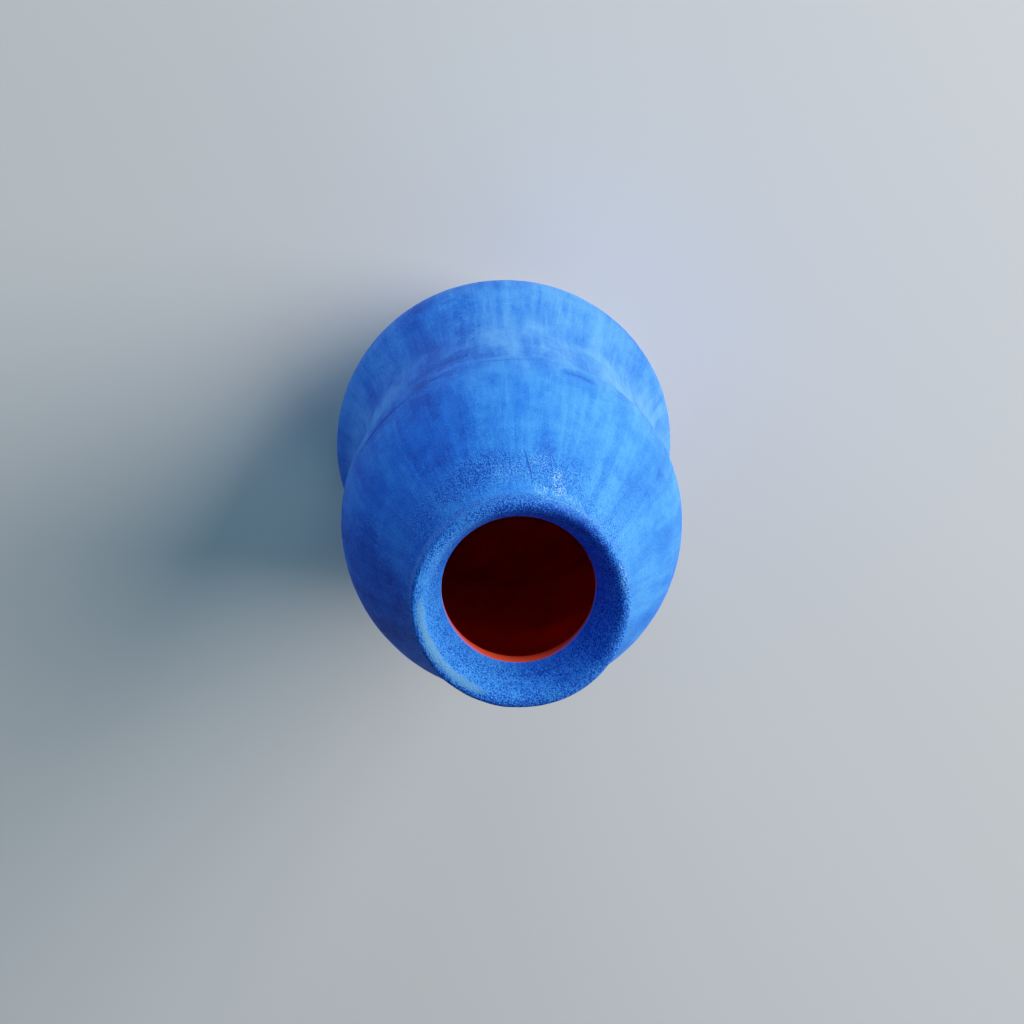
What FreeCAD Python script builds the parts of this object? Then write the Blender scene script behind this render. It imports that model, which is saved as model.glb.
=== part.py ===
import FreeCAD, Part
import math
import os
import re

import Sketcher
from FreeCAD import Vector

# Ceramic bud vase, wheel thrown: two bellies with a crease between them, a short neck and a thick
# flared lip. It is one clay body under two glazes: a dry coat outside, from just above the foot,
# over the lip and down to the throat, and a glossy one inside, from the throat to the floor.
#
# Every surface is turned about Z, so each sub-part is one half section and one revolution. The
# section is a run of arcs and straight stretches that meet in tangents, drawn at two depths: at
# the finished surface, and one glaze thickness under it, where the clay begins. An arc keeps its
# centre at both depths, and only its radius changes.
#
# Millimetres, +Z up through the mouth, origin in the middle of the foot's resting plane.

# alias, value, meaning; lengths in millimetres and angles in degrees
DIMENSIONS = [
    ("total_height", "118.5", "resting plane to lip crest"),
    ("lip_radius", "20", "outside of the lip"),
    ("lip_roll", "1", "rounding from the lip's crest out to its band"),
    ("lip_inner_roll", "2", "rounding from the crest in to the throat's slope"),
    ("lip_band", "3.9", "upright band round the lip"),
    ("lip_under_roll", "1.5", "rounding under that band"),
    ("neck_fillet", "3.5", "hollow between the lip and the shoulder"),
    ("shoulder_angle", "27.7", "lean of the shoulder from the vertical"),
    ("upper_belly_radius", "32.9", "widest radius of the upper belly"),
    ("upper_belly_height", "70.5", "height of that widest circle"),
    ("upper_belly_curve", "43", "profile radius above it"),
    ("upper_belly_turn", "8", "profile radius below it"),
    ("crease_fillet", "1.2", "fillet in the crease between the bellies"),
    ("crease_height", "64.3", "height of that fillet's centre"),
    ("waist_radius", "30", "narrowest radius, under the crease"),
    ("flare_curve", "38", "profile radius of the flare from the waist to the lower belly"),
    ("lower_belly_radius", "34.5", "widest radius of the lower belly"),
    ("lower_belly_height", "21.5", "height of that widest circle"),
    ("lower_belly_curve", "13", "profile radius above it"),
    ("lower_belly_turn", "21", "profile radius below it"),
    ("throat_radius", "14", "narrowest radius of the throat"),
    ("throat_height", "108.2", "height of that narrowest circle"),
    ("throat_curve", "7.2", "profile radius of the throat"),
    ("wall", "4.5", "finished wall at both bellies and the waist"),
    ("inner_upper_turn", "7", "inside curve below the upper belly"),
    ("ridge_curve", "8", "profile radius of the inside ridge behind the crease"),
    ("inner_lower_turn", "15", "inside curve from the lower belly to the floor"),
    ("glaze_thickness", "0.4", "both glaze coats"),
    ("glaze_line_angle", "12", "where the glazes meet on the throat's curve, above the level"),
    ("glaze_edge_angle", "52", "where the outer glaze stops on the lower turn, below the level"),
    ("foot_radius", "21.5", "outside of the foot ring"),
    ("foot_ring_width", "4.5", "foot ring across its roundings"),
    ("foot_recess", "1.6", "hollow under the foot, inside the ring"),
    ("foot_rounding", "0.6", "rounding of the ring's two edges"),
]

ORIGIN, UPRIGHT_AXIS = -1, -2  # Sketcher's numbers for its root point and its vertical axis
START, END, CENTRE = 1, 2, 3  # Sketcher's numbers for the points of a curve
CLAY_WITHIN, CLAY_AROUND = 1, -1  # which side of an arc's circle the clay lies on
OUTSIDE, INSIDE = -1, 1  # the vessel's two faces
FINISHED, CLAY = "0", "glaze_thickness"  # the two depths
STRAIGHT = None  # stands in a run for the line that touches the arcs before and after it

# Ways that a surface faces out of the clay, in radians above the level, away from the axis.
LEVEL_OUT, UP, LEVEL_IN = 0.0, math.pi / 2, math.pi
FULL_TURN = 360

document = FreeCAD.newDocument("bud_vase")
sheet = document.addObject("Spreadsheet::Sheet", "dimensions")
for row, (alias, amount, meaning) in enumerate(DIMENSIONS, start=1):
    sheet.set(f"A{row}", meaning)
    sheet.set(f"B{row}", amount)
    sheet.setAlias(f"B{row}", alias)
document.recompute()

ALIAS = re.compile(r"\b(" + "|".join(alias for alias, _, _ in DIMENSIONS) + r")\b")


def bound(formula):
    """A formula in aliases as an expression that reads the sheet."""
    return ALIAS.sub(r"dimensions.\1", formula)


def number(formula):
    """What a formula in aliases comes to."""
    return float(sheet.evalExpression(formula))


def step(facing, length=1.0):
    """A step in the half section, towards an angle in radians above the level."""
    return Vector(length * math.cos(facing), length * math.sin(facing), 0)


def bearing(vector):
    """The angle of a step above the level, in radians."""
    return math.atan2(vector.y, vector.x)


class Arc:
    """A round stretch of the section: centre, finished radius, and the side its clay is on.

    The centre's coordinates named in held are bound to the sheet. The others follow from the
    arcs and lines that it touches, and their formulas only start it in the right place.
    """

    def __init__(self, x, y, radius, side, held="xy"):
        self.x = x
        self.y = y
        self.radius = radius
        self.side = side
        self.held = held
        self.centre = Vector(number(x), number(y), 0)
        self.bulge = side * number(radius)

    def radius_at(self, depth):
        """The radius at a depth under the finished surface, as a formula."""
        sign = "-" if self.side == CLAY_WITHIN else "+"
        return f"{self.radius} {sign} {depth}"

    def point(self, facing, depth):
        """Where the surface at this depth faces this way out of the clay."""
        return self.centre + step(facing, self.side * number(self.radius_at(depth)))


def facing_at_join(first, second):
    """The way the surface faces where two tangent arcs meet."""
    apart = first.centre - second.centre
    return bearing(apart if second.bulge > first.bulge else -apart)


def facing_of_line(first, second, face):
    """The way a line faces that touches two arcs, one after the other in a run."""
    apart = first.centre - second.centre
    return bearing(apart) + face * math.acos((second.bulge - first.bulge) / apart.Length)


def neck_centre():
    """The centre of the fillet that touches the lip's lower roll and the shoulder's line."""
    fillet = number("neck_fillet")
    facing = math.radians(number("shoulder_angle"))
    uphill = step(facing + math.pi / 2)
    level_with_belly = upper_belly.centre + step(facing, upper_belly.bulge + fillet)
    offset = level_with_belly - lip_under.centre
    reach = lip_under.bulge + fillet
    along = offset.dot(uphill)
    climb = -along - math.sqrt(along**2 - offset.Length**2 + reach**2)
    return level_with_belly + uphill * climb


LIP_X = "lip_radius - lip_roll"
LIP_HEIGHT = "total_height - lip_roll"
THROAT_X = "throat_radius + throat_curve"
UPPER_X = "upper_belly_radius - upper_belly_curve"
UPPER_TURN_X = "upper_belly_radius - upper_belly_turn"
CREASE_DROP = "(upper_belly_height - crease_height)"
CREASE_X = f"{UPPER_TURN_X} + sqrt((upper_belly_turn + crease_fillet)^2 - {CREASE_DROP}^2)"
LOWER_X = "lower_belly_radius - lower_belly_curve"
LOWER_TURN_X = "lower_belly_radius - lower_belly_turn"
INNER_TURN_X = "upper_belly_radius - wall - inner_upper_turn"
INNER_LOWER_TURN_X = "lower_belly_radius - wall - inner_lower_turn"
FLARE_X = "waist_radius + flare_curve"
FLARE_REACH = f"({FLARE_X} - ({LOWER_X}))"
FLARE_RISE = f"sqrt((flare_curve + lower_belly_curve)^2 - {FLARE_REACH}^2)"
FLARE_HEIGHT = f"lower_belly_height + {FLARE_RISE}"
RIDGE_X = "waist_radius - wall + ridge_curve"
RIDGE_REACH = f"({RIDGE_X} - ({INNER_TURN_X}))"
RIDGE_HEIGHT = f"upper_belly_height - sqrt((inner_upper_turn + ridge_curve)^2 - {RIDGE_REACH}^2)"
RING_OUTER_X = "foot_radius - foot_rounding"
RING_INNER_X = "foot_radius - foot_ring_width + foot_rounding"

throat = Arc(THROAT_X, "throat_height", "throat_curve", CLAY_WITHIN)
throat_below = Arc(THROAT_X, "throat_height", "throat_curve", CLAY_WITHIN, held="")
lip_inner = Arc(LIP_X, "total_height - lip_inner_roll", "lip_inner_roll", CLAY_WITHIN, held="x")
lip = Arc(LIP_X, LIP_HEIGHT, "lip_roll", CLAY_WITHIN)
lip_under = Arc(
    "lip_radius - lip_under_roll", f"{LIP_HEIGHT} - lip_band", "lip_under_roll", CLAY_WITHIN
)
upper_belly = Arc(UPPER_X, "upper_belly_height", "upper_belly_curve", CLAY_WITHIN)
neck_start = neck_centre()
neck = Arc(str(neck_start.x), str(neck_start.y), "neck_fillet", CLAY_AROUND, held="")
upper_turn = Arc(UPPER_TURN_X, "upper_belly_height", "upper_belly_turn", CLAY_WITHIN, held="y")
crease = Arc(CREASE_X, "crease_height", "crease_fillet", CLAY_AROUND, held="y")
flare = Arc(FLARE_X, FLARE_HEIGHT, "flare_curve", CLAY_AROUND, held="x")
lower_belly = Arc(LOWER_X, "lower_belly_height", "lower_belly_curve", CLAY_WITHIN)
lower_turn = Arc(LOWER_TURN_X, "lower_belly_height", "lower_belly_turn", CLAY_WITHIN, held="y")

inner_upper = Arc(UPPER_X, "upper_belly_height", "upper_belly_curve - wall", CLAY_AROUND)
inner_upper_turn = Arc(
    INNER_TURN_X, "upper_belly_height", "inner_upper_turn", CLAY_AROUND, held="y"
)
ridge = Arc(RIDGE_X, RIDGE_HEIGHT, "ridge_curve", CLAY_WITHIN, held="x")
inner_flare = Arc(FLARE_X, FLARE_HEIGHT, "flare_curve + wall", CLAY_WITHIN, held="x")
inner_lower = Arc(LOWER_X, "lower_belly_height", "lower_belly_curve - wall", CLAY_AROUND)
inner_lower_turn = Arc(
    INNER_LOWER_TURN_X, "lower_belly_height", "inner_lower_turn", CLAY_AROUND, held="y"
)

ring_outer = Arc(RING_OUTER_X, "foot_rounding", "foot_rounding", CLAY_WITHIN)
ring_inner = Arc(RING_INNER_X, "foot_rounding", "foot_rounding", CLAY_WITHIN)

# Both runs start in the throat. One goes over the lip and down the outside, the other down inside.
OUTER_RUN = [throat, STRAIGHT, lip_inner, lip, STRAIGHT, lip_under, neck, STRAIGHT]
OUTER_RUN += [upper_belly, upper_turn, crease, STRAIGHT, flare, lower_belly, lower_turn]
SHOULDER = OUTER_RUN.index(upper_belly) - 1
INNER_RUN = [STRAIGHT, inner_upper, inner_upper_turn, ridge, STRAIGHT, inner_flare]
INNER_RUN += [inner_lower, inner_lower_turn]
RING_RUN = [ring_outer, STRAIGHT, ring_inner]

GLAZE_LINE = LEVEL_IN - math.radians(number("glaze_line_angle"))
GLAZE_EDGE = -math.radians(number("glaze_edge_angle"))
GLAZE_EDGE_HEIGHT = "lower_belly_height - lower_belly_turn * sin(glaze_edge_angle)"


def glaze_line_height(depth):
    """How high the glazes meet on the throat's curve at this depth, as a formula."""
    return f"throat_height + ({throat.radius_at(depth)}) * sin(glaze_line_angle)"


class Stroke:
    """One curve of a sketch, with its first and last points as Sketcher names them."""

    def __init__(self, index, first, last):
        self.index = index
        self.first = (index, first)
        self.last = (index, last)


class Section:
    """The half section of one sub-part: a body, and a sketch on its XZ plane."""

    def __init__(self, name):
        self.body = document.addObject("PartDesign::Body", name)
        self.body.Label = name
        self.sketch = self.body.newObject("Sketcher::SketchObject", f"{name}_section")
        planes = self.body.Origin.OriginFeatures
        plane = next(feature for feature in planes if feature.Role == "XZ_Plane")
        self.sketch.AttachmentSupport = [(plane, "")]
        self.sketch.MapMode = "FlatFace"

    def constrain(self, kind, *what):
        """Add a constraint that has no value."""
        self.sketch.addConstraint(Sketcher.Constraint(kind, *what))

    def measure(self, kind, *what, formula):
        """Add a length and bind it to the sheet."""
        index = self.sketch.addConstraint(Sketcher.Constraint(kind, *what, number(formula)))
        self.sketch.setExpression(f"Constraints[{index}]", bound(formula))

    def place(self, axis, point, formula):
        """Hold one coordinate of a point, where axis is X or Y."""
        self.measure(f"Distance{axis}", ORIGIN, START, *point, formula=formula)

    def lean(self, stroke, formula):
        """Hold a line's lean from the vertical."""
        angle = math.radians(number(formula))
        lower_end, axis_end = stroke.last, (UPRIGHT_AXIS, START)
        rule = Sketcher.Constraint("Angle", *axis_end, *lower_end, angle)
        index = self.sketch.addConstraint(rule)
        self.sketch.setExpression(f"Constraints[{index}]", f"{bound(formula)} * 1deg")

    def add_arc(self, arc, depth, first, last):
        """Draw an arc from one facing to another, and hold its radius and centre."""
        sweep = math.remainder(last - first, 2 * math.pi)
        begin = first if arc.side == CLAY_WITHIN else first + math.pi
        circle = Part.Circle(arc.centre, Vector(0, 0, 1), number(arc.radius_at(depth)))
        low, high = sorted((begin, begin + sweep))
        index = self.sketch.addGeometry(Part.ArcOfCircle(circle, low, high), False)
        self.measure("Radius", index, formula=arc.radius_at(depth))
        if "x" in arc.held:
            self.place("X", (index, CENTRE), arc.x)
        if "y" in arc.held:
            self.place("Y", (index, CENTRE), arc.y)
        return Stroke(index, START, END) if sweep > 0 else Stroke(index, END, START)

    def add_line(self, start, end):
        """Draw a line from one position to another."""
        index = self.sketch.addGeometry(Part.LineSegment(start, end), False)
        return Stroke(index, START, END)

    def point(self, end):
        """Where a stroke's end is now."""
        return self.sketch.getPoint(*end)

    def connect(self, start, end):
        """Draw a line from one drawn point to another, and hold it there."""
        line = self.add_line(self.point(start), self.point(end))
        self.constrain("Coincident", *start, *line.first)
        self.constrain("Coincident", *end, *line.last)
        return line

    def add_run(self, run, face, depth, first, last):
        """Draw arcs and the lines between them, each in tangent to the one before."""
        strokes = []
        facing = first
        for place, arc in enumerate(run):
            if arc is STRAIGHT:
                continue
            after = run[place + 1 :]
            if not after:
                leaving = last
            elif after[0] is STRAIGHT:
                leaving = facing_of_line(arc, after[1], face)
            else:
                leaving = facing_at_join(arc, after[0])
            strokes.append(self.add_arc(arc, depth, facing, leaving))
            if after and after[0] is STRAIGHT:
                landing = after[1].point(leaving, depth)
                strokes.append(self.add_line(arc.point(leaving, depth), landing))
            facing = leaving
        for before, following in zip(strokes, strokes[1:]):
            self.constrain("Tangent", *before.last, *following.first)
        return strokes

    def add_outside(self, depth, end):
        """Draw the outside, from the glaze line in the throat to a facing on the lower turn."""
        strokes = self.add_run(OUTER_RUN, OUTSIDE, depth, GLAZE_LINE, end)
        self.lean(strokes[SHOULDER], "shoulder_angle")
        self.place("Y", strokes[0].first, glaze_line_height(depth))
        return strokes

    def add_inside(self, depth, throat_arc):
        """Draw the inside, from the glaze line in the throat to the middle of the floor."""
        strokes = self.add_run([throat_arc] + INNER_RUN, INSIDE, depth, GLAZE_LINE, UP)
        edge = inner_lower_turn.point(UP, depth)
        floor = self.add_line(edge, Vector(0, edge.y, 0))
        self.constrain("Tangent", *strokes[-1].last, *floor.first)
        self.constrain("Horizontal", floor.index)
        self.constrain("PointOnObject", *floor.last, UPRIGHT_AXIS)
        return strokes + [floor]

    def revolve(self):
        """Turn the finished section about the body's axis."""
        document.recompute()
        if not self.sketch.FullyConstrained:
            raise RuntimeError(f"{self.sketch.Name} is not fully constrained")
        revolution = self.body.newObject("PartDesign::Revolution", f"{self.body.Name}_turned")
        revolution.Profile = self.sketch
        revolution.ReferenceAxis = (self.sketch, ["V_Axis"])
        revolution.Angle = FULL_TURN
        document.recompute()
        return self.body


def make_outer_glaze():
    """The dry coat, from the glaze line in the throat over the lip to its edge above the foot."""
    section = Section("outer_glaze")
    finished = section.add_outside(FINISHED, GLAZE_EDGE)
    clay = section.add_outside(CLAY, GLAZE_EDGE)
    section.connect(finished[0].first, clay[0].first)
    edge = section.connect(finished[-1].last, clay[-1].last)
    section.place("Y", finished[-1].last, GLAZE_EDGE_HEIGHT)
    section.constrain("PointOnObject", finished[-1].index, CENTRE, edge.index)
    return section.revolve()


def make_inner_glaze():
    """The glossy coat, from the glaze line in the throat over the whole inside."""
    section = Section("inner_glaze")
    finished = section.add_inside(FINISHED, throat)
    clay = section.add_inside(CLAY, throat)
    section.place("Y", finished[0].first, glaze_line_height(FINISHED))
    section.place("Y", clay[0].first, glaze_line_height(CLAY))
    section.connect(finished[0].first, clay[0].first)
    section.connect(finished[-1].last, clay[-1].last)
    return section.revolve()


def make_clay_body():
    """The clay, bare from the outer glaze's edge down over the foot ring and under the foot."""
    section = Section("clay_body")
    ring_wall_x = number("foot_radius")
    turn_radius = number(lower_turn.radius_at(CLAY))
    turn_end = -math.acos((ring_wall_x - lower_turn.centre.x) / turn_radius)
    outside = section.add_outside(CLAY, turn_end)
    inside = section.add_inside(CLAY, throat_below)
    section.constrain("Tangent", *outside[0].first, *inside[0].first)

    ring = section.add_run(RING_RUN, OUTSIDE, FINISHED, LEVEL_OUT, LEVEL_IN)
    corner, ring_top = outside[-1].last, ring[0].first
    outer_wall = section.add_line(section.point(corner), section.point(ring_top))
    section.constrain("Coincident", *corner, *outer_wall.first)
    section.constrain("Tangent", *outer_wall.last, *ring_top)
    section.constrain("Vertical", outer_wall.index)

    recess_edge = Vector(number("foot_radius - foot_ring_width"), number("foot_recess"), 0)
    inner_wall = section.add_line(section.point(ring[-1].last), recess_edge)
    section.constrain("Tangent", *ring[-1].last, *inner_wall.first)
    section.constrain("Vertical", inner_wall.index)
    recess = section.add_line(recess_edge, Vector(0, recess_edge.y, 0))
    section.constrain("Coincident", *inner_wall.last, *recess.first)
    section.constrain("Horizontal", recess.index)
    section.constrain("PointOnObject", *recess.last, UPRIGHT_AXIS)
    section.place("Y", recess.first, "foot_recess")
    section.connect(recess.last, inside[-1].last)
    return section.revolve()


bodies = [make_clay_body(), make_outer_glaze(), make_inner_glaze()]

for thing in document.Objects:
    if {"Invalid", "Error"} & set(thing.State):
        raise RuntimeError(f"{thing.Name} is {thing.State}")
for body in bodies:
    if body.Shape.isNull() or not body.Shape.isValid():
        raise RuntimeError(f"{body.Label} has no valid shape")

os.makedirs("parts", exist_ok=True)
for body in bodies:
    body.Shape.exportStep(f"parts/{body.Label}.step")
    print(body.Label, f"{body.Shape.Volume:.0f} mm3")
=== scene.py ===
import math
from collections import namedtuple

import bpy
import numpy as np
from mathutils import Matrix, Vector


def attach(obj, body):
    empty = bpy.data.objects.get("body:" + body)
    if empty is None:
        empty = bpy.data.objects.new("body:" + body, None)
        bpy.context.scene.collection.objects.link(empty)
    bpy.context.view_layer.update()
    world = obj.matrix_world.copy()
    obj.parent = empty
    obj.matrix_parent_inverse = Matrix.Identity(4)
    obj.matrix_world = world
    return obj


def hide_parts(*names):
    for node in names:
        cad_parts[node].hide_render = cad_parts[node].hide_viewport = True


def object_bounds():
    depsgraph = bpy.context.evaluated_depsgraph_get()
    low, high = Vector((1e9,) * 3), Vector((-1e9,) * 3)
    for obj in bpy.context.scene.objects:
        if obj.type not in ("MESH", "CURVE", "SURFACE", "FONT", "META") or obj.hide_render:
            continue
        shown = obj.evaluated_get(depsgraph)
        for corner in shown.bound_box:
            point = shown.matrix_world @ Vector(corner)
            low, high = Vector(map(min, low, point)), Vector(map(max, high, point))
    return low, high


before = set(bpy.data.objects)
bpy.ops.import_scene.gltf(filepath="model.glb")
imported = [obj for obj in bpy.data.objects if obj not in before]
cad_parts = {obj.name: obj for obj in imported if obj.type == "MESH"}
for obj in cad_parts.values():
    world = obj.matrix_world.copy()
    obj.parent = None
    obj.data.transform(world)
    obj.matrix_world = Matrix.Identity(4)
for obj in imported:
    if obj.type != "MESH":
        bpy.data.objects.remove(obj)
CAD_LOW, CAD_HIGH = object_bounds()

# Looks of the ceramic bud vase: a clay body under a dry blue coat outside and a glossy red one
# inside. Each piece is a half section of arcs and straight stretches turned about Z, as in the
# CAD, with the marks of throwing and brushing in its mesh. Profiles are in millimetres, facings
# are angles above the level, away from the axis, and meshes are in metres.

MM = 0.001
SEGMENTS = 224
WIDEST_TURN = math.radians(9)  # the most that the surface turns from one ring to the next
SHARP = math.radians(50)  # faces that meet at more than this show an edge

# Spacings of the rings of points, in millimetres
OUTER_STEP = 0.5
INNER_STEP = 0.7
FLOOR_STEP = 1.0
FOOT_STEP = 0.3
RECESS_STEP = 0.4
HIDDEN_STEP = 1.6
HIDDEN_CLAY_STEP = 1.0
LAST_RING = 0.3  # radius of the ring next to a pole

CLAY_WITHIN, CLAY_AROUND = 1, -1
OUTSIDE, INSIDE = -1, 1
STRAIGHT = None
UP, LEVEL_OUT, LEVEL_IN, DOWN = math.pi / 2, 0.0, math.pi, -math.pi / 2

HEIGHT = CAD_HIGH.z / MM
WIDEST = CAD_HIGH.x / MM
GLAZE = 0.4
WALL = 4.5
GLAZE_LINE = LEVEL_IN - math.radians(12)
GLAZE_EDGE = -math.radians(52)

Arc = namedtuple("Arc", "x z radius side")
Profile = namedtuple("Profile", "x z facing along")


def step(facing, length=1.0):
    """A step in the half section, towards a facing."""
    return Vector((length * math.cos(facing), length * math.sin(facing)))


def centre(arc):
    """An arc's centre."""
    return Vector((arc.x, arc.z))


def point(arc, facing):
    """Where an arc's surface faces this way out of the clay."""
    return centre(arc) + step(facing, arc.side * arc.radius)


def bearing(vector):
    """The angle of a step above the level."""
    return math.atan2(vector.y, vector.x)


def facing_at_join(first, second):
    """The way the surface faces where two tangent arcs meet."""
    apart = centre(first) - centre(second)
    return bearing(apart if second.side * second.radius > first.side * first.radius else -apart)


def facing_of_line(first, second, face):
    """The way a line faces that touches two arcs, one after the other in a run."""
    apart = centre(first) - centre(second)
    gain = second.side * second.radius - first.side * first.radius
    return bearing(apart) + face * math.acos(gain / apart.length)


def between(first, last, spacing):
    """Points on a straight stretch, without its first one."""
    count = max(1, math.ceil((last - first).length / spacing))
    return [first.lerp(last, k / count) for k in range(1, count + 1)]


def trace(run, face, first, last, spacing):
    """The rings of a run of arcs and straight stretches: places, facings and length so far."""
    places = [point(run[0], first)]
    facings = [first]
    facing = first
    for place, arc in enumerate(run):
        if arc is STRAIGHT:
            continue
        after = run[place + 1 :]
        if not after:
            leaving = last
        elif after[0] is STRAIGHT:
            leaving = facing_of_line(arc, after[1], face)
        else:
            leaving = facing_at_join(arc, after[0])
        sweep = math.remainder(leaving - facing, 2 * math.pi)
        count = math.ceil(abs(sweep) / min(spacing / arc.radius, WIDEST_TURN))
        for k in range(1, count + 1):
            turned = facing + sweep * k / count
            places.append(point(arc, turned))
            facings.append(turned)
        if after and after[0] is STRAIGHT:
            for spot in between(places[-1], point(after[1], leaving), spacing):
                places.append(spot)
                facings.append(leaving)
        facing = leaving
    return make_profile(places, facings)


def make_profile(places, facings):
    """Places and facings as arrays, with the length so far."""
    flat = np.array([tuple(place) for place in places])
    gaps = np.hypot(*np.diff(flat, axis=0).T)
    along = np.concatenate([[0.0], np.cumsum(gaps)])
    return Profile(flat[:, 0], flat[:, 1], np.array(facings), along)


# ---- The profile, with the CAD's dimensions ----

BELLY_LEVEL = 70.5
BELLY_RADIUS = 43.0
BELLY_CENTRE = -10.1
TURN_CENTRE = 24.9
TURN_RADIUS = 8.0
CREASE_RADIUS = 1.2
CREASE_DROP = 6.2
LOWER_LEVEL = 21.5
LOWER_RADIUS = 13.0
LOWER_TURN_RADIUS = 21.0
FLARE_CENTRE = 68.0
FLARE_RADIUS = 38.0


def beside(reach, drop):
    """The other leg of a right triangle, from its longest side and one leg."""
    return math.sqrt(reach**2 - drop**2)


THROAT = Arc(21.2, 108.2, 7.2, CLAY_WITHIN)
LIP_INNER = Arc(19.0, HEIGHT - 2.0, 2.0, CLAY_WITHIN)
LIP = Arc(19.0, HEIGHT - 1.0, 1.0, CLAY_WITHIN)
LIP_UNDER = Arc(18.5, HEIGHT - 4.9, 1.5, CLAY_WITHIN)
UPPER_BELLY = Arc(BELLY_CENTRE, BELLY_LEVEL, BELLY_RADIUS, CLAY_WITHIN)
UPPER_TURN = Arc(TURN_CENTRE, BELLY_LEVEL, TURN_RADIUS, CLAY_WITHIN)
CREASE = Arc(
    TURN_CENTRE + beside(TURN_RADIUS + CREASE_RADIUS, CREASE_DROP),
    BELLY_LEVEL - CREASE_DROP,
    CREASE_RADIUS,
    CLAY_AROUND,
)
LOWER_BELLY = Arc(WIDEST - LOWER_RADIUS, LOWER_LEVEL, LOWER_RADIUS, CLAY_WITHIN)
LOWER_TURN = Arc(WIDEST - LOWER_TURN_RADIUS, LOWER_LEVEL, LOWER_TURN_RADIUS, CLAY_WITHIN)
FLARE = Arc(
    FLARE_CENTRE,
    LOWER_LEVEL + beside(FLARE_RADIUS + LOWER_RADIUS, FLARE_CENTRE - LOWER_BELLY.x),
    FLARE_RADIUS,
    CLAY_AROUND,
)
NECK_RADIUS = 3.5
SHOULDER_FACING = math.radians(27.7)


def neck_arc(radius):
    """The hollow that touches the lip's lower roll and the shoulder's line."""
    uphill = step(SHOULDER_FACING + math.pi / 2)
    level = centre(UPPER_BELLY) + step(SHOULDER_FACING, UPPER_BELLY.radius + radius)
    offset = level - centre(LIP_UNDER)
    along = offset.dot(uphill)
    reach = LIP_UNDER.radius + radius
    climb = -along - math.sqrt(along**2 - offset.length_squared + reach**2)
    return Arc(*(level + uphill * climb), radius, CLAY_AROUND)


NECK = neck_arc(NECK_RADIUS)
OUTER_RUN = [THROAT, STRAIGHT, LIP_INNER, LIP, STRAIGHT, LIP_UNDER, NECK, STRAIGHT]
OUTER_RUN += [UPPER_BELLY, UPPER_TURN, CREASE, STRAIGHT, FLARE, LOWER_BELLY, LOWER_TURN]

INNER_TURN_CENTRE = 21.4
INNER_TURN_RADIUS = 7.0
RIDGE_CENTRE = 33.5
RIDGE_RADIUS = 8.0
INNER_CORNER_RADIUS = 15.0
INNER_UPPER = Arc(BELLY_CENTRE, BELLY_LEVEL, BELLY_RADIUS - WALL, CLAY_AROUND)
INNER_TURN = Arc(INNER_TURN_CENTRE, BELLY_LEVEL, INNER_TURN_RADIUS, CLAY_AROUND)
RIDGE = Arc(
    RIDGE_CENTRE,
    BELLY_LEVEL - beside(INNER_TURN_RADIUS + RIDGE_RADIUS, RIDGE_CENTRE - INNER_TURN_CENTRE),
    RIDGE_RADIUS,
    CLAY_WITHIN,
)
INNER_FLARE = Arc(FLARE.x, FLARE.z, FLARE_RADIUS + WALL, CLAY_WITHIN)
INNER_LOWER = Arc(LOWER_BELLY.x, LOWER_LEVEL, LOWER_RADIUS - WALL, CLAY_AROUND)
INNER_LOWER_TURN = Arc(
    WIDEST - WALL - INNER_CORNER_RADIUS, LOWER_LEVEL, INNER_CORNER_RADIUS, CLAY_AROUND
)
INNER_RUN = [THROAT, STRAIGHT, INNER_UPPER, INNER_TURN, RIDGE, STRAIGHT, INNER_FLARE]
INNER_RUN += [INNER_LOWER, INNER_LOWER_TURN]

FOOT_RADIUS = 21.5
RING_WIDTH = 4.5
RECESS = 1.6
RING_ROUNDING = 0.6
RING_OUTER = Arc(FOOT_RADIUS - RING_ROUNDING, RING_ROUNDING, RING_ROUNDING, CLAY_WITHIN)
RING_INNER = Arc(
    FOOT_RADIUS - RING_WIDTH + RING_ROUNDING, RING_ROUNDING, RING_ROUNDING, CLAY_WITHIN
)

# ---- Surfaces ----

TURNS = np.arange(SEGMENTS) / SEGMENTS

# Unevenness: how far it goes, cells round the vase, length of a cell down the wall, random seed
Lumps = namedtuple("Lumps", "rise cells pitch seed")
BRUSH_RIDGES = Lumps(0.014, 60, 18.0, 21)
BROAD_LUMPS = Lumps(0.06, 9, 14.0, 31)
SMALL_LUMPS = Lumps(0.03, 23, 6.0, 32)
LIP_GRIT = Lumps(0.05, 70, 1.0, 41)
INNER_LUMPS = Lumps(0.02, 7, 12.0, 52)

# Throwing rings: how far they go, distance from one to the next, random seed
Rings = namedtuple("Rings", "rise pitch seed")
OUTER_RINGS = Rings(0.022, 3.3, 11)
INNER_RINGS = Rings(0.025, 4.2, 51)
FLOOR_RINGS = Rings(0.096, 3.5, 53)
FOOT_RINGS = Rings(0.05, 1.3, 61)
RING_STRAY = 2.2  # how far a ring strays from the screw, in radians of its wave
STRAY_CELLS = 5
STRAY_PITCH = 9.0
FINE_SHARE = 0.45  # share of the relief that is finer than the rings
FINE_PARTS = 3  # and its cells in one ring

# How far each finished surface lies within the CAD's, so that its lumps stay inside too
OUTER_SINK = 0.12
INNER_SINK = 0.05
FOOT_SINK = 0.06

LIP_EDGE = (111.0, 113.5)  # where the shoulder's surface gives way to the lip's
LIP_RINGS_SHARE = 0.4
OUTER_START = 0.4  # lengths over which the coats' marks grow from the glaze line
INNER_START = 4.0

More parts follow.
